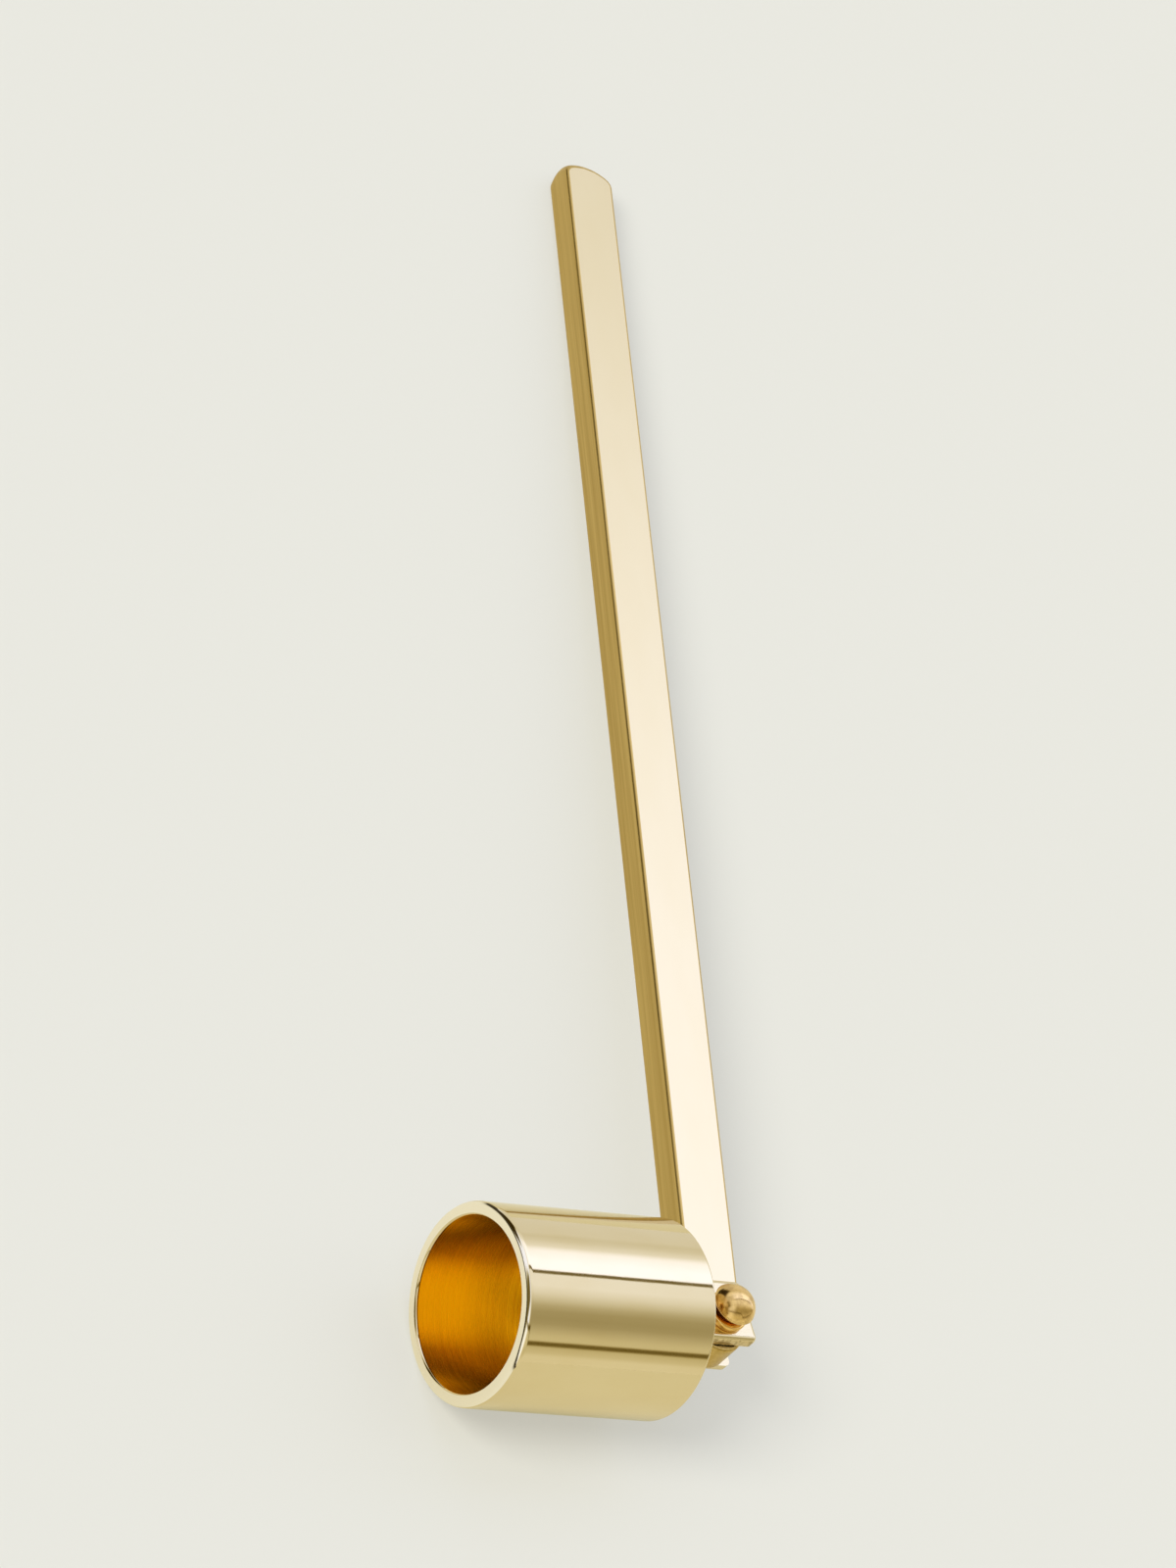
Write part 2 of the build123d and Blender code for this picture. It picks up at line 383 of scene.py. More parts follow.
# %% Floor
FLOOR_SIZE = 8.0
floor_mesh = bpy.data.meshes.new("floor")
half = FLOOR_SIZE / 2
corners = [(-half, -half), (half, -half), (half, half), (-half, half)]
floor_mesh.from_pydata([(x, y, TABLE_HEIGHT) for x, y in corners], [], [(0, 1, 2, 3)])
floor = bpy.data.objects.new("floor", floor_mesh)
bpy.context.collection.objects.link(floor)
print("floor at", round(TABLE_HEIGHT / MM, 2), "mm")

# %% The sheet's colour
FLOOR_COLOUR = (0.558, 0.544, 0.472, 1.0)
METAL_SEES = (0.81, 0.775, 0.49, 1.0)
METAL_SEES_FAR = (0.05, 0.04, 0.02, 1.0)
SHADOW_SHARE = 0.45
METAL_SHARE = 0.45
SHEET_LEFT_EDGE = (-45 * MM, -85 * MM)
SHEET_BACK_EDGE = (55 * MM, 90 * MM)
SHEET_BACK_EDGE_RIGHT_END = (35 * MM, 10 * MM)
TO_THE_RIGHT = (1, 0, 0)
TO_THE_BACK = (0, 1, 0)

floor_finish = bpy.data.materials.new("pale_sheet")
floor_finish.use_nodes = True
sheet = Bench(floor_finish.node_tree)
chalk = sheet.node("ShaderNodeBsdfDiffuse", None, {"Color": FLOOR_COLOUR})
by_camera = sheet.node("ShaderNodeLightPath", output="Is Camera Ray")
by_metal = sheet.node("ShaderNodeLightPath", output="Is Glossy Ray")
spot = sheet.place()
across = sheet.measure(spot, TO_THE_RIGHT)
past_left = sheet.ease(across, *SHEET_LEFT_EDGE)
past_back = sheet.ease(sheet.measure(spot, TO_THE_BACK), *SHEET_BACK_EDGE)
past_back = past_back * sheet.ease(across, *SHEET_BACK_EDGE_RIGHT_END)
past_edge = sheet.maths("MAXIMUM", past_left, past_back)
reflected = sheet.mix(past_edge, METAL_SEES, METAL_SEES_FAR)
glow = sheet.node("ShaderNodeEmission", None, {"Color": sheet.mix(by_camera, reflected, BACKGROUND)})
share = by_camera * (1 - SHADOW_SHARE) + by_metal * (past_edge * (1 - METAL_SHARE) + METAL_SHARE)
paper = sheet.node("ShaderNodeMixShader", None, (share, chalk, glow))
sheet.node("ShaderNodeOutputMaterial", None, {"Surface": paper})
floor_mesh.materials.append(floor_finish)
print("sheet nodes", len(floor_finish.node_tree.nodes))

# %% [markdown]
# One soft lamp stands on the left, rather low, and gives the shadow its direction. It could be an area
# light, but a sun with a wide angle lights the whole snuffer evenly and softens the shadow as well.
# The metal doesn't reflect the lamp itself, so it leaves no hot spot beside the tent's soft bands.

# %% Lamp
LAMP_FROM = Vector((-0.77, -0.03, 0.64))
LAMP_STRENGTH = 3.3
LAMP_SOFTNESS = math.radians(24)
lamp_data = bpy.data.lights.new("soft_lamp", "SUN")
lamp_data.energy = LAMP_STRENGTH
lamp_data.angle = LAMP_SOFTNESS
lamp = bpy.data.objects.new("soft_lamp", lamp_data)
lamp.rotation_euler = LAMP_FROM.to_track_quat("Z", "Y").to_euler()
lamp.visible_glossy = False
bpy.context.collection.objects.link(lamp)
print("lamp leans", round(math.degrees(LAMP_FROM.angle(Vector((0, 0, 1)))), 1), "degrees from overhead")

# %% [markdown]
# Brass finishes. All of them are bare metal, so each is the same shader with its own colour,
# roughness and relief, worked out from a little noise. Each could be painted as an image, but noise has
# no seams and stays sharp however near the camera comes. Every finish is a function that gives those
# three, and the shader is built round it once.

# %% A brass shader
def brass(name, make, inner_light=None):
    """A metal finish. make gives the colour, the roughness and the normal, inner_light a faint painted glow."""
    material = bpy.data.materials.new(name)
    material.use_nodes = True
    bench = Bench(material.node_tree)
    colour, roughness, normal = make(bench, bench.place())
    values = {"Base Color": colour, "Roughness": roughness, "Normal": normal, "Metallic": 1.0}
    if inner_light:
        values.update({"Emission Color": inner_light(bench, bench.place()), "Emission Strength": 1.0})
    metal = bench.node("ShaderNodeBsdfPrincipled", None, values)
    bench.node("ShaderNodeOutputMaterial", None, {"Surface": metal})
    print(name, len(material.node_tree.nodes), "nodes")
    return material


print("materials before the brass", len(bpy.data.materials))

# %% [markdown]
# The cup's outside was polished on a cloth wheel. It is a mirror with a few faults: faint clouds where
# the wheel dwelt, a very fine grain along the cup, and a slight waviness that bends the reflections.
# An anisotropic shader could draw the grain, but it blurs every reflection, and the real ones are sharp.
# So the grain is noise that is stretched along the cup, and all of it stays weak.

# %% Cup's buffed outside
PALE_BRASS = (0.80, 0.665, 0.40, 1.0)
WARM_BRASS = (0.75, 0.60, 0.32, 1.0)
BUFFED_CLOUDS = (120, 260, 260)
BUFFED_GRAIN = (900, 9000, 9000)
BUFFED_WAVES = (240, 240, 240)
CLOUD_CONTRAST = 2.0
BUFFED_GRAIN_SHARE = 0.6
BUFFED_ROUGHNESS = (0.045, 0.095)
BUFFED_GRAIN_HEIGHT_SHARE = 0.04
BUFFED_RELIEF = 0.005 * MM


def buffed_cup(bench, point):
    """Mirror-like, with faint cloudy warmth and the slight waviness that buffing leaves."""
    clouds = bench.noise(point, BUFFED_CLOUDS, detail=3.0)
    grain = bench.noise(point, BUFFED_GRAIN)
    waves = bench.noise(point, BUFFED_WAVES, detail=1.0)
    colour = bench.mix(clouds**CLOUD_CONTRAST, PALE_BRASS, WARM_BRASS)
    dull = grain * BUFFED_GRAIN_SHARE + clouds * (1 - BUFFED_GRAIN_SHARE)
    relief = waves + grain * BUFFED_GRAIN_HEIGHT_SHARE
    return colour, bench.between(dull, BUFFED_ROUGHNESS), bench.bump(relief, BUFFED_RELIEF)


cup_buffed = brass("cup_buffed", buffed_cup)

# %% [markdown]
# The rim is the end of the cup's wall, cut clean in the lathe. It is the palest part, partly as a painted
# sheen that stands for the bright light it reflects, and the cutting tool left fine rings on it. They
# could be modelled, but they are only some thousandths of a millimetre deep, so a bump shows them as
# well. They depend only on the distance from the cup's axis, so the noise is asked for along that
# distance alone.

# %% Cup's rim
# The rim's colours are near white, partly as painted sheen for the bright light the rim reflects.
RIM_BRASS_AND_SHEEN = (1.0, 0.95, 0.85, 1.0)
RIM_WARM_AND_SHEEN = (1.0, 0.89, 0.72, 1.0)
BESIDE_AXIS = (0, 1, 1)
RIM_RINGS = (4200, 1, 1)
RIM_ROUGHNESS = (0.07, 0.12)
RIM_RELIEF = 0.010 * MM


def from_axis(bench, point):
    """How far the point lies from the cup's axis, which is the frame's x."""
    beside = bench.node("ShaderNodeVectorMath", {"operation": "MULTIPLY"}, (point, BESIDE_AXIS))
    return bench.node("ShaderNodeVectorMath", {"operation": "LENGTH"}, (beside,), output="Value")


def faced_rim(bench, point):
    """The turned end of the wall: near white, partly as painted sheen, with fine rings about the cup's axis."""
    radius = from_axis(bench, point)
    rings = bench.noise(bench.node("ShaderNodeCombineXYZ", None, (radius,)), RIM_RINGS)
    colour = bench.mix(rings, RIM_BRASS_AND_SHEEN, RIM_WARM_AND_SHEEN)
    return colour, bench.between(rings, RIM_ROUGHNESS), bench.bump(rings, RIM_RELIEF)


cup_rim = brass("cup_rim_faced_and_sheen", faced_rim)

# %% [markdown]
# Inside the cup the tool's marks were left as they were: fine rings round the wall, in bands where the
# tool was moved on. The colour is deep, because light comes out of the bore only after it has met the
# brass several times, and each time less green and blue comes back. A render follows only so many of
# these turns, so a painted glow on the closed end and on the lower side near the mouth stands for the rest.

# %% Cup's turned bore
BORE_BRASS = (1.0, 0.74, 0.11, 1.0)
BORE_DEEP = (0.86, 0.57, 0.07, 1.0)
BORE_MARKS = (9000, 40, 40)
BORE_BANDS = (1500, 25, 25)
BORE_MARK_SHARE = 0.6
BORE_CONTRAST = (0.36, 0.64)
BORE_ROUGHNESS = (0.20, 0.32)
BORE_RELIEF = 0.004 * MM


def turned_bore(bench, point):
    """Turning marks run round the bore: fine across the tool's travel and long round the wall."""
    marks = bench.noise(point, BORE_MARKS, detail=3.0)
    bands = bench.noise(point, BORE_BANDS)
    tooled = bench.ease(marks * BORE_MARK_SHARE + bands * (1 - BORE_MARK_SHARE), *BORE_CONTRAST)
    colour = bench.mix(tooled, BORE_BRASS, BORE_DEEP)
    return colour, bench.between(marks, BORE_ROUGHNESS), bench.bump(marks + bands, BORE_RELIEF)


# Painted glow: the bore shines with these colours, in place of light bounced from wall to wall.
UNLIT = (0.0, 0.0, 0.0, 1.0)
END_LIGHT = (0.47, 0.35, 0.02, 1.0)
END_LIT_DEPTH = (21 * MM, 25 * MM)
END_LIT_RADIUS = (9.5 * MM, 3 * MM)
LOWER_LIGHT = (0.43, 0.18, 0.0, 1.0)
LOWER_SIDE = (0.0, 0.49, -0.87)
LOWER_LIT_FACING = (0.82, 1.02)
LOWER_LIT_DEPTH = (16 * MM, 5 * MM)


def painted_bore_glow(bench, point):
    """A painted glow for light gathered from wall to wall: on the closed end, and on the lower side near the
    mouth.
    """
    depth = bench.measure(point, CUP_AXIS)
    outward = from_axis(bench, point)
    on_end = bench.ease(depth, *END_LIT_DEPTH) * bench.ease(outward, *END_LIT_RADIUS)
    facing = bench.measure(point, LOWER_SIDE) / outward
    on_side = bench.ease(facing, *LOWER_LIT_FACING) * bench.ease(depth, *LOWER_LIT_DEPTH)
    return bench.mix(on_side, bench.mix(on_end, UNLIT, END_LIGHT), LOWER_LIGHT)


cup_bore = brass("cup_bore_turned_painted_glow", turned_bore, painted_bore_glow)

# %% [markdown]
# The handle is cut from drawn bar. Its two wide faces were buffed like the cup, but along the bar, and
# its narrow sides keep the long grain of drawing and are duller. Their deeper colour is partly painted
# shade, for the darker surroundings that the sides reflect. Both finishes use the bar's own directions,
# so that the grain runs true although the bar lies at an angle in the frame.

# %% Handle's directions
def bar_place(bench, point):
    """The point in the bar's own directions: across, along and through."""
    directions = (HANDLE_ACROSS, HANDLE_ALONG, PIVOT_AXIS)
    measured = [bench.measure(point, direction) for direction in directions]
    return bench.node("ShaderNodeCombineXYZ", None, measured)


print("the bar's grain runs along", tuple(round(value, 3) for value in HANDLE_ALONG))

# %% Handle's faces and sides
FACE_PATCHES = (160, 60, 160)
FACE_GRAIN = (7000, 260, 7000)
FACE_WARM_SHARE = 0.55
FACE_ROUGHNESS = (0.10, 0.15)
FACE_GRAIN_HEIGHT_SHARE = 0.05
FACE_RELIEF = 0.005 * MM

# The side's colours are partly painted shade: darker than the faces, for the dark surroundings the sides reflect.
SIDE_BRASS_AND_SHADE = (0.62, 0.43, 0.135, 1.0)
SIDE_WARM_AND_SHADE = (0.50, 0.33, 0.085, 1.0)
SIDE_GRAIN = (5200, 45, 5200)
SIDE_STREAKS = (1500, 14, 1500)
SIDE_GRAIN_SHARE = 0.5
SIDE_CONTRAST = (0.34, 0.66)
SIDE_ROUGHNESS = (0.26, 0.40)
SIDE_RELIEF = 0.004 * MM


def bar_face(bench, point):
    """Buffed along the bar, with faint patches where the wheel dwelt."""
    on_bar = bar_place(bench, point)
    patches = bench.noise(on_bar, FACE_PATCHES, detail=3.0)
    grain = bench.noise(on_bar, FACE_GRAIN)
    colour = bench.mix(patches * FACE_WARM_SHARE, PALE_BRASS, WARM_BRASS)
    relief = patches + grain * FACE_GRAIN_HEIGHT_SHARE
    return colour, bench.between(grain, FACE_ROUGHNESS), bench.bump(relief, FACE_RELIEF)


def bar_side(bench, point):
    """The drawn side: lengthwise grain and duller, in a deeper colour that is partly painted shade."""
    on_bar = bar_place(bench, point)
    grain = bench.noise(on_bar, SIDE_GRAIN, detail=3.0)
    streaks = bench.noise(on_bar, SIDE_STREAKS)
    streaked = bench.ease(grain * SIDE_GRAIN_SHARE + streaks * (1 - SIDE_GRAIN_SHARE), *SIDE_CONTRAST)
    colour = bench.mix(streaked, SIDE_BRASS_AND_SHADE, SIDE_WARM_AND_SHADE)
    return colour, bench.between(grain, SIDE_ROUGHNESS), bench.bump(grain, SIDE_RELIEF)


handle_face = brass("handle_face_buffed", bar_face)
handle_side = brass("handle_side_drawn_and_shaded", bar_side)

# %% [markdown]
# The dome nut is the piece that fingers turn. Its brass has gone a little brown in patches, with small
# dark freckles, but it is still smooth enough to show the tent's seam as a thin line. Stains could be
# painted on, but two noises, one coarse and one fine, give both. The washer under the nut, called the
# collar here, is bright and deep in colour. The screws and the thin washers are plain turned brass, and
# very little of them shows.

# %% Nut and collar finishes
NUT_BRASS = (0.84, 0.57, 0.215, 1.0)
NUT_DARK = (0.50, 0.32, 0.11, 1.0)
NUT_MOTTLE = (900, 900, 900)
NUT_FRECKLES = (3200, 3200, 3200)
MOTTLE_CONTRAST = (0.38, 0.68)
FRECKLE_CONTRAST = (0.62, 0.74)
MOTTLE_SHARE = 0.7
NUT_ROUGHNESS = (0.10, 0.22)
NUT_RELIEF = 0.006 * MM

COLLAR_BRASS = (0.86, 0.52, 0.12, 1.0)
COLLAR_RINGS = (500, 500, 4000)
COLLAR_ROUGHNESS = (0.10, 0.18)
COLLAR_RELIEF = 0.004 * MM


def aged_nut(bench, point):
    """A nut that fingers turn: mottled, with small dark freckles."""
    mottle = bench.noise(point, NUT_MOTTLE, detail=4.0)
    freckles = bench.ease(bench.noise(point, NUT_FRECKLES), *FRECKLE_CONTRAST)
    brown = bench.ease(mottle, *MOTTLE_CONTRAST) * MOTTLE_SHARE + freckles * (1 - MOTTLE_SHARE)
    colour = bench.mix(brown, NUT_BRASS, NUT_DARK)
    return colour, bench.between(mottle, NUT_ROUGHNESS), bench.bump(mottle, NUT_RELIEF)


def golden_collar(bench, point):
    """The collar under the nut, bright and deep in colour."""
    rings = bench.noise(point, COLLAR_RINGS)
    colour = bench.mix(rings, COLLAR_BRASS, NUT_BRASS)
    return colour, bench.between(rings, COLLAR_ROUGHNESS), bench.bump(rings, COLLAR_RELIEF)


nut_aged = brass("nut_aged", aged_nut)
collar_golden = brass("collar_golden", golden_collar)

# %% Screw finish
SCREW_MARKS = (3000, 3000, 3000)
SCREW_ROUGHNESS = (0.25, 0.35)
SCREW_RELIEF = 0.003 * MM


def turned_screw(bench, point):
    """Screws and thin washers: ordinary turned brass."""
    marks = bench.noise(point, SCREW_MARKS)
    colour = bench.mix(marks, WARM_BRASS, NUT_DARK)
    return colour, bench.between(marks, SCREW_ROUGHNESS), bench.bump(marks, SCREW_RELIEF)


screw_turned = brass("screw_turned", turned_screw)

# %% [markdown]
# The fork is a small milled block. Its flats are pale, with fine lines from the cutter. The narrow edge
# of the ear that carries the nut was sawn and hardly cleaned up, so it is deeper in colour and has short
# dark marks side by side. That edge is found by its place in the frame, so it needs no mesh of its own.

# %% Fork finish
FORK_LINES = (220, 5200, 5200)
FORK_WARM_SHARE = 0.6
FORK_ROUGHNESS = (0.14, 0.24)
FORK_RELIEF = 0.003 * MM

SAWN_BRASS = (0.68, 0.52, 0.26, 1.0)
SAWN_DARK = (0.42, 0.31, 0.13, 1.0)
SAWN_TEETH = (3400, 600, 1500)
SAWN_CONTRAST = (0.42, 0.64)
SAWN_ROUGHER = 0.08
SAWN_FADE = (0.12 * MM, 0.04 * MM)
NUT_EAR_EDGE = (2.2 * MM, 2.5 * MM)
sawn_place = PIVOT.dot(BESIDE_CUP) - reach("pivot_fork", -BESIDE_CUP)
SAWN_EDGE = [sawn_place + depth for depth in SAWN_FADE]
print("the fork's sawn edge in mm", round(sawn_place / MM, 2))


def milled_fork(bench, point):
    """The milled fork: pale, with fine lines along its sides and a sawn edge on the nut's ear."""
    lines = bench.noise(point, FORK_LINES, detail=3.0)
    teeth = bench.noise(point, SAWN_TEETH, detail=3.0)
    on_edge = bench.ease(bench.measure(point, BESIDE_CUP), *SAWN_EDGE)
    sawn = on_edge * bench.ease(bench.measure(point, PIVOT_AXIS), *NUT_EAR_EDGE)
    milled_colour = bench.mix(lines * FORK_WARM_SHARE, PALE_BRASS, WARM_BRASS)
    sawn_colour = bench.mix(bench.ease(teeth, *SAWN_CONTRAST), SAWN_BRASS, SAWN_DARK)
    colour = bench.mix(sawn, milled_colour, sawn_colour)
    roughness = bench.between(lines, FORK_ROUGHNESS) + sawn * SAWN_ROUGHER
    return colour, roughness, bench.bump(lines + sawn * teeth, FORK_RELIEF)


fork_milled = brass("fork_milled", milled_fork)

# %% [markdown]
# Turned pieces are made as on a lathe: a profile is spun about an axis. The packed meshes could be
# bevelled instead, but a profile gives each edge its own round. Its corners are real arcs, because an
# edge that a polishing wheel has passed over always catches a line of light. A point just beside each
# arc keeps the flat next to it flat when it is shaded smooth.

# %% A rounded profile
ARC_STEPS = 8
FLAT_KEEPER = 0.05 * MM


def rounded(corners, closed=True):
    """The points of a path whose corners, (u, v, radius), are rounded with arcs."""
    path = []
    count = len(corners)
    for index, (u, v, radius) in enumerate(corners):
        corner = Vector((u, v))
        if radius == 0 or (not closed and index in (0, count - 1)):
            path.append(corner)
            continue
        before = (Vector(corners[index - 1][:2]) - corner).normalized()
        after = (Vector(corners[(index + 1) % count][:2]) - corner).normalized()
        half_angle = before.angle(after) / 2
        run = radius / math.tan(half_angle)
        centre = corner + (before + after).normalized() * radius / math.sin(half_angle)
        first, last = corner + before * run - centre, corner + after * run - centre
        start = math.atan2(first.y, first.x)
        sweep = (math.atan2(last.y, last.x) - start + math.pi) % (2 * math.pi) - math.pi
        path.append(corner + before * (run + FLAT_KEEPER))
        for step in range(ARC_STEPS + 1):
            turn = start + sweep * step / ARC_STEPS
            path.append(centre + radius * Vector((math.cos(turn), math.sin(turn))))
        path.append(corner + after * (run + FLAT_KEEPER))
    return path


print("a rounded square has", len(rounded([(0, 0, 1), (9, 0, 1), (9, 9, 1), (0, 9, 1)])), "points")


# %% From a worked shape to a piece
def finish_shape(name, shape, placing, finishes):
    """Turns a worked shape into an object in the frame, shaded smooth."""
    bmesh.ops.recalc_face_normals(shape, faces=shape.faces)
    shape.transform(placing)
    for face in shape.faces:
        face.smooth = True
    mesh = bpy.data.meshes.new(name)
    shape.to_mesh(mesh)
    shape.free()
    for finish in finishes:
        mesh.materials.append(finish)
    piece = bpy.data.objects.new(name, mesh)
    bpy.context.collection.objects.link(piece)
    print(name, len(mesh.polygons), "faces")
    return piece


print("pieces go into the", bpy.context.collection.name)

# %% Spinning a profile
TURN_STEPS = 192
ON_THE_AXIS = 1e-7


def spin(name, path, placing, finishes, choose=None, closed=True):
    """Spins (radius, height) points about a piece's own z axis. choose picks each band's finish."""
    shape = bmesh.new()
    rings = []
    for radius, height in path:
        if radius < ON_THE_AXIS:
            rings.append([shape.verts.new((0, 0, height))])
            continue
        turns = [2 * math.pi * step / TURN_STEPS for step in range(TURN_STEPS)]
        rings.append([shape.verts.new((radius * math.cos(t), radius * math.sin(t), height)) for t in turns])
    pairs = list(zip(range(len(rings)), range(1, len(rings))))
    if closed:
        pairs.append((len(rings) - 1, 0))
    for first, second in pairs:
        middle = (path[first] + path[second]) / 2
        index = choose(middle.x, middle.y) if choose else 0
        for step in range(TURN_STEPS):
            following = (step + 1) % TURN_STEPS
            loop = []
            for ring, turn in ((first, step), (second, step), (second, following), (first, following)):
                vertex = rings[ring][turn % len(rings[ring])]
                if vertex not in loop:
                    loop.append(vertex)
            if len(loop) > 2:
                shape.faces.new(loop).material_index = index
    return finish_shape(name, shape, placing, finishes)


print("turned pieces have", TURN_STEPS, "steps round")

# %% [markdown]
# The cup is one wall thickness all round. It has a flat closed end, with a hole for the screw that
# holds the fork. The real rim was rounded on both sides, more on the outer one, and these two rounds
# draw the thin lines beside it. So they are modelled, and larger than the packed solid has them. The
# polishing wheel went over the bore's lip too, so the lip has the outside's finish.

# %% Cup's profile
WALL = CUP_RADIUS - BORE_RADIUS
END_WALL = 2.0 * MM
RIM_OUTER_ROUND = 0.75 * MM
RIM_INNER_ROUND = 0.40 * MM
CUP_END_ROUND = 0.35 * MM
CUP_FLOOR_ROUND = 1.50 * MM
CUP_HOLE_RADIUS = 1.56 * MM
cup_floor = CUP_LENGTH - END_WALL
cup_path = rounded([
    (CUP_RADIUS, 0, RIM_OUTER_ROUND),
    (CUP_RADIUS, CUP_LENGTH, CUP_END_ROUND),
    (CUP_HOLE_RADIUS, CUP_LENGTH, 0),
    (CUP_HOLE_RADIUS, cup_floor, 0),
    (BORE_RADIUS, cup_floor, CUP_FLOOR_ROUND),
    (BORE_RADIUS, 0, RIM_INNER_ROUND),
])
print("cup's wall in mm", round(WALL / MM, 2), "and profile points", len(cup_path))

# %% Cup
BORE_LIP_WIDTH = RIM_INNER_ROUND * 0.7
RIM_PAST_MIDDLE = 0.2 * MM


def cup_band(radius, height):
    """0 for the buffed outside and the bore's lip, 1 for the rim and 2 for the bore."""
    if height < RIM_INNER_ROUND and radius < BORE_RADIUS + BORE_LIP_WIDTH:
        return 0
    if height < RIM_OUTER_ROUND and radius > BORE_RADIUS and height < CUP_RADIUS - radius + RIM_PAST_MIDDLE:
        return 1
    return 2 if radius < CUP_RADIUS - WALL / 2 and height < cup_floor + END_WALL / 2 else 0


cup = spin("cup_shell", cup_path, ALONG_CUP, [cup_buffed, cup_rim, cup_bore], cup_band)
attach(cup, "cup")
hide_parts("snuffer_cup")

# %% [markdown]
# The handle is a flat bar with a crowned tip and a round heel. A bevelled block would be quicker to
# make, but the real tip is crowned in two directions. So the bar is a stack of outlines through its
# thickness. Near each wide face the outline draws in along an arc, which rounds the long edges, and the
# tip falls back towards both faces. The bar is closed at the pivot, where the fork hides the hole.

# %% Handle measures
HANDLE_HALF_WIDTH = reach("handle_bar", HANDLE_ACROSS)
HANDLE_HALF_THICKNESS = reach("handle_bar", PIVOT_AXIS)
HANDLE_REACH = reach("handle_bar", HANDLE_ALONG)
HANDLE_HEEL = reach("handle_bar", -HANDLE_ALONG)
TIP_CROWN_ACROSS = 1.3 * MM
TIP_CROWN_THROUGH = 1.05 * MM
TIP_CORNER_ROUND = 1.75 * MM
EDGE_ROUND = 0.42 * MM

crown_radius = (HANDLE_HALF_WIDTH**2 + TIP_CROWN_ACROSS**2) / (2 * TIP_CROWN_ACROSS)
crown_centre = HANDLE_REACH - crown_radius
corner_x = HANDLE_HALF_WIDTH - TIP_CORNER_ROUND
corner_y = crown_centre + math.sqrt((crown_radius - TIP_CORNER_ROUND) ** 2 - corner_x**2)
heel_centre = HANDLE_HALF_WIDTH - HANDLE_HEEL
handle_sizes = (HANDLE_HALF_WIDTH, HANDLE_HALF_THICKNESS, HANDLE_REACH, HANDLE_HEEL)
print("handle sizes in mm", [round(size / MM, 2) for size in handle_sizes])
print("tip crown radius in mm", round(crown_radius / MM, 2))

# %% Handle outline
HEEL_STEPS = 24
SIDE_STEPS = 40
CORNER_STEPS = 8
CROWN_STEPS = 12
SIDE_STOPS_SHORT = 0.5 * MM


def half_outline(inset, height):
    """The right half of the bar's outline, from the heel to the tip, drawn in by inset."""
    fall = TIP_CROWN_THROUGH * (height / HANDLE_HALF_THICKNESS) ** 2
    points = []
    for step in range(HEEL_STEPS):
        turn = math.pi / 2 * step / HEEL_STEPS
        radius = HANDLE_HALF_WIDTH - inset
        points.append((radius * math.sin(turn), heel_centre - radius * math.cos(turn)))
    side_end = corner_y - TIP_CROWN_THROUGH - SIDE_STOPS_SHORT
    for step in range(SIDE_STEPS + 1):
        along = heel_centre + (side_end - heel_centre) * step / SIDE_STEPS
        points.append((HANDLE_HALF_WIDTH - inset, along))
    tangent = math.atan2(corner_x, corner_y - crown_centre)
    for step in range(CORNER_STEPS + 1):
        turn = math.pi / 2 + (tangent - math.pi / 2) * step / CORNER_STEPS
        radius = TIP_CORNER_ROUND - inset
        x, y = corner_x + radius * math.sin(turn), corner_y + radius * math.cos(turn)
        points.append((x, y - fall))
    for step in range(1, CROWN_STEPS + 1):
        turn = tangent * (1 - step / CROWN_STEPS)
        radius = crown_radius - inset
        points.append((radius * math.sin(turn), crown_centre + radius * math.cos(turn) - fall))
    return points


print("outline points", len(half_outline(0, 0)))

# %% Handle's layers
ROUND_STEPS = 7
THROUGH_STEPS = 10
shoulder = HANDLE_HALF_THICKNESS - EDGE_ROUND
layers = [(EDGE_ROUND + FLAT_KEEPER, HANDLE_HALF_THICKNESS)]
for step in range(ROUND_STEPS + 1):
    turn = math.pi / 2 * (1 - step / ROUND_STEPS)
    layers.append((EDGE_ROUND * (1 - math.cos(turn)), shoulder + EDGE_ROUND * math.sin(turn)))
flat_end = shoulder - FLAT_KEEPER
layers += [(0, flat_end * (1 - 2 * step / THROUGH_STEPS)) for step in range(THROUGH_STEPS + 1)]
layers += [(inset, -height) for inset, height in reversed(layers[: ROUND_STEPS + 2])]
print("handle layers", len(layers))

# %% Handle
WIDE_FACE_INSET = EDGE_ROUND * 0.9


def bar_handle():
    """Joins the stacked outlines into one closed bar."""
    shape = bmesh.new()
    rings = []
    for inset, height in layers:
        right = half_outline(inset, height)
        ring = [shape.verts.new((x, y, height)) for x, y in right]
        ring += [shape.verts.new((-x, y, height)) for x, y in reversed(right[1:-1])]
        rings.append(ring)
    count = len(rings[0])
    for row, (upper, lower) in enumerate(zip(rings, rings[1:])):
        wide = min(layers[row][0], layers[row + 1][0]) > WIDE_FACE_INSET
        for step in range(count):
            following = (step + 1) % count
            face = shape.faces.new((upper[step], upper[following], lower[following], lower[step]))
            face.material_index = 0 if wide else 1
    for ring in (rings[0], rings[-1]):
        for step in range(1, count // 2 + 1):
            loop = [ring[step - 1], ring[step], ring[-step], ring[(1 - step) % count]]
            loop = [vertex for place, vertex in enumerate(loop) if vertex not in loop[:place]]
            if len(loop) > 2:
                shape.faces.new(loop)
    return finish_shape("handle_bar_dressed", shape, IN_HANDLE, [handle_face, handle_side])


handle = bar_handle()
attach(handle, "handle")
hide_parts("handle_bar")

# %% [markdown]
# The dome nut is a flattened round head on a narrow neck, with a thick washer under it. Both were
# turned, so both are spun. A squashed ball would be quicker, but the real head is one shallow arc that
# ends in a small round lip, and that lip catches a line of light of its own.

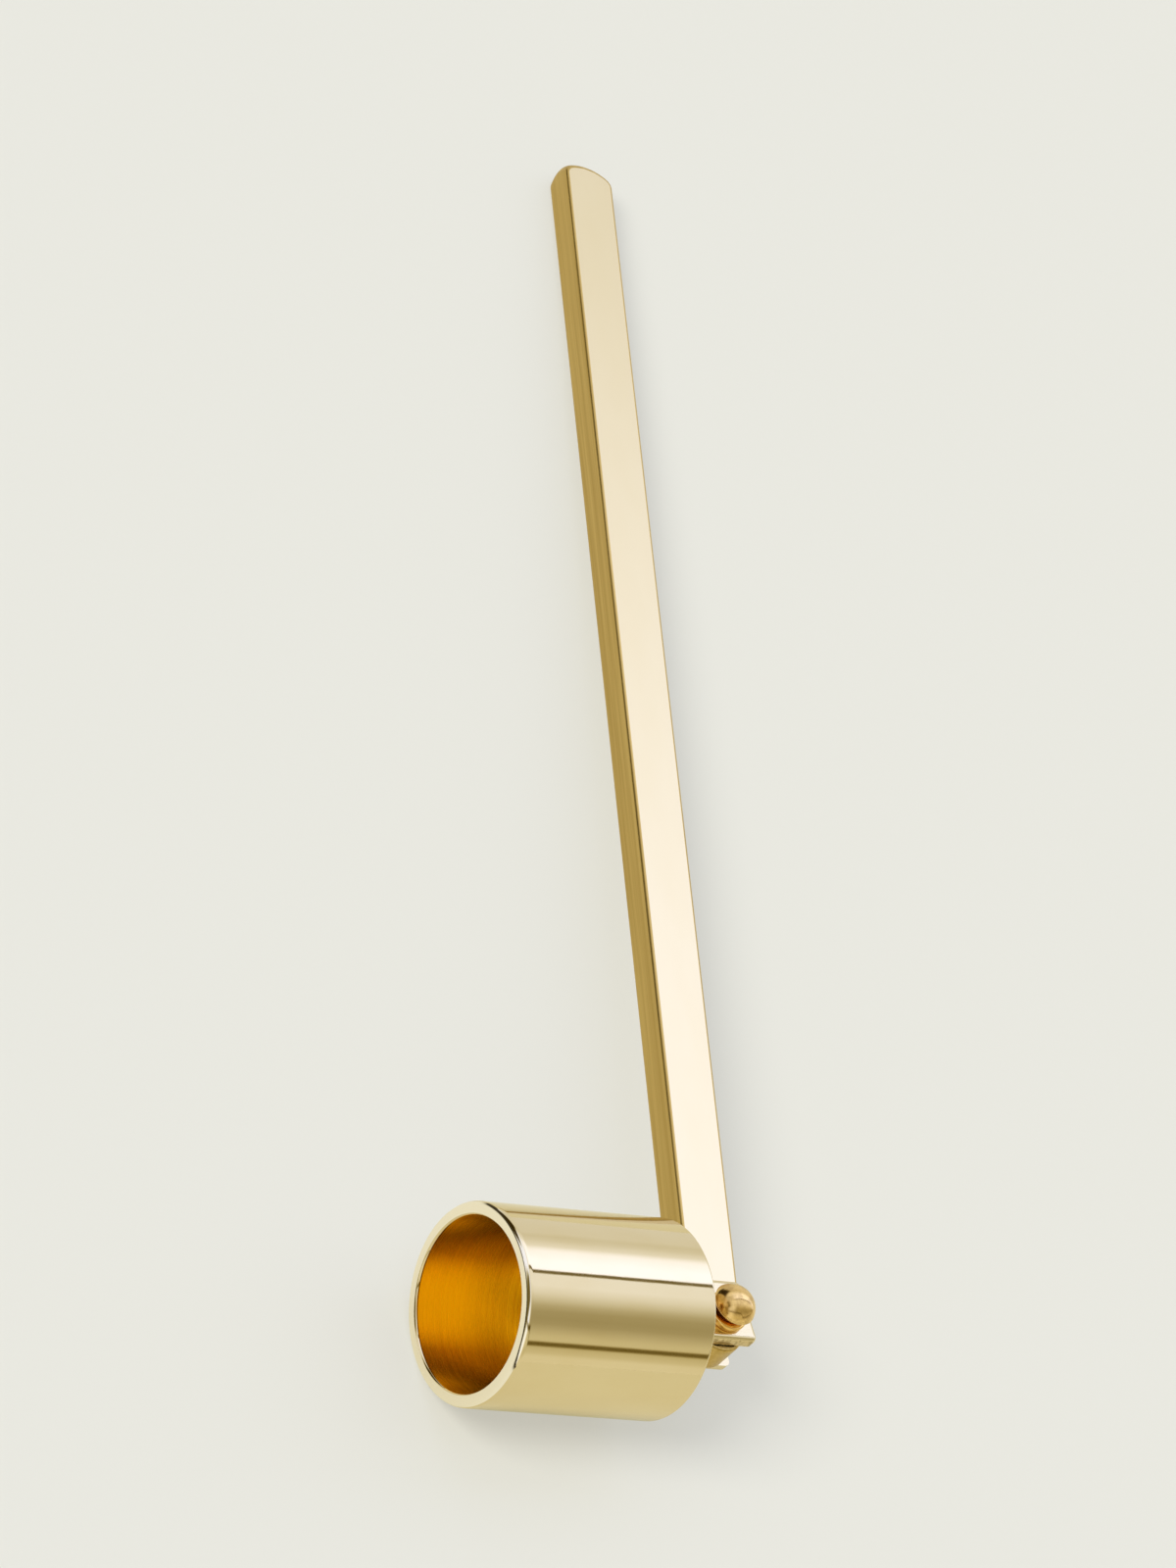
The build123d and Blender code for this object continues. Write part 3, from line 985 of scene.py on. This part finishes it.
# %% Dome nut
NUT_SEAT = reach("nut_washer", PIVOT_AXIS)
NUT_TOP = reach("dome_nut", PIVOT_AXIS)
NUT_RIM = NUT_SEAT + 1.35 * MM
NECK_RADIUS = 2.0 * MM
DOME_RADIUS = 2.9 * MM
NUT_LIP = 0.30 * MM
NUT_LIP_DRAWN_IN = NUT_LIP / 3
NUT_LIP_ROUND = NUT_LIP / 2
DOME_STEPS = 24

dome_height = NUT_TOP - NUT_RIM
dome_curve = (DOME_RADIUS**2 + dome_height**2) / (2 * dome_height)
dome_turn = math.asin(DOME_RADIUS / dome_curve)
dome_start = rounded([
    (NECK_RADIUS, NUT_SEAT, 0),
    (NECK_RADIUS, NUT_RIM - NUT_LIP, 0),
    (DOME_RADIUS - NUT_LIP_DRAWN_IN, NUT_RIM - NUT_LIP, NUT_LIP_ROUND),
    (DOME_RADIUS, NUT_RIM, 0),
], closed=False)
dome_path = [Vector((0, NUT_SEAT))] + dome_start
for step in range(1, DOME_STEPS + 1):
    turn = dome_turn * (1 - step / DOME_STEPS)
    dome_path.append(Vector((dome_curve * math.sin(turn), NUT_TOP - dome_curve * (1 - math.cos(turn)))))
dome = spin("dome_nut_dressed", dome_path, ALONG_PIVOT, [nut_aged], closed=False)
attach(dome, "cup")
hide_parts("dome_nut")

# %% Collar under the nut
EAR_OUTER = reach("pivot_fork", PIVOT_AXIS)
WASHER_RADIUS = reach_round("nut_washer")
WASHER_ROUND = 0.25 * MM
SCREW_HOLE_RADIUS = 1.31 * MM

washer_path = rounded([
    (SCREW_HOLE_RADIUS, EAR_OUTER, 0),
    (WASHER_RADIUS, EAR_OUTER, WASHER_ROUND),
    (WASHER_RADIUS, NUT_SEAT, WASHER_ROUND),
    (SCREW_HOLE_RADIUS, NUT_SEAT, 0),
])
collar = spin("collar_dressed", washer_path, ALONG_PIVOT, [collar_golden])
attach(collar, "cup")
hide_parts("nut_washer")

# %% [markdown]
# The fork, the two screws and the thin washers keep their packed meshes. They could be made again like
# the rest, but the fork's edges are nearly sharp on the real piece too, and the screws and washers
# hardly show. So they only get their finishes.

# %% Small parts from the model
for node, finish in (
    ("pivot_fork", fork_milled),
    ("cup_screw", screw_turned),
    ("pivot_screw", screw_turned),
    ("friction_washers", screw_turned),
):
    carried = frame["nodes"][node]
    carried.data.materials.clear()
    carried.data.materials.append(finish)
    print("dressed", node)

# %% [markdown]
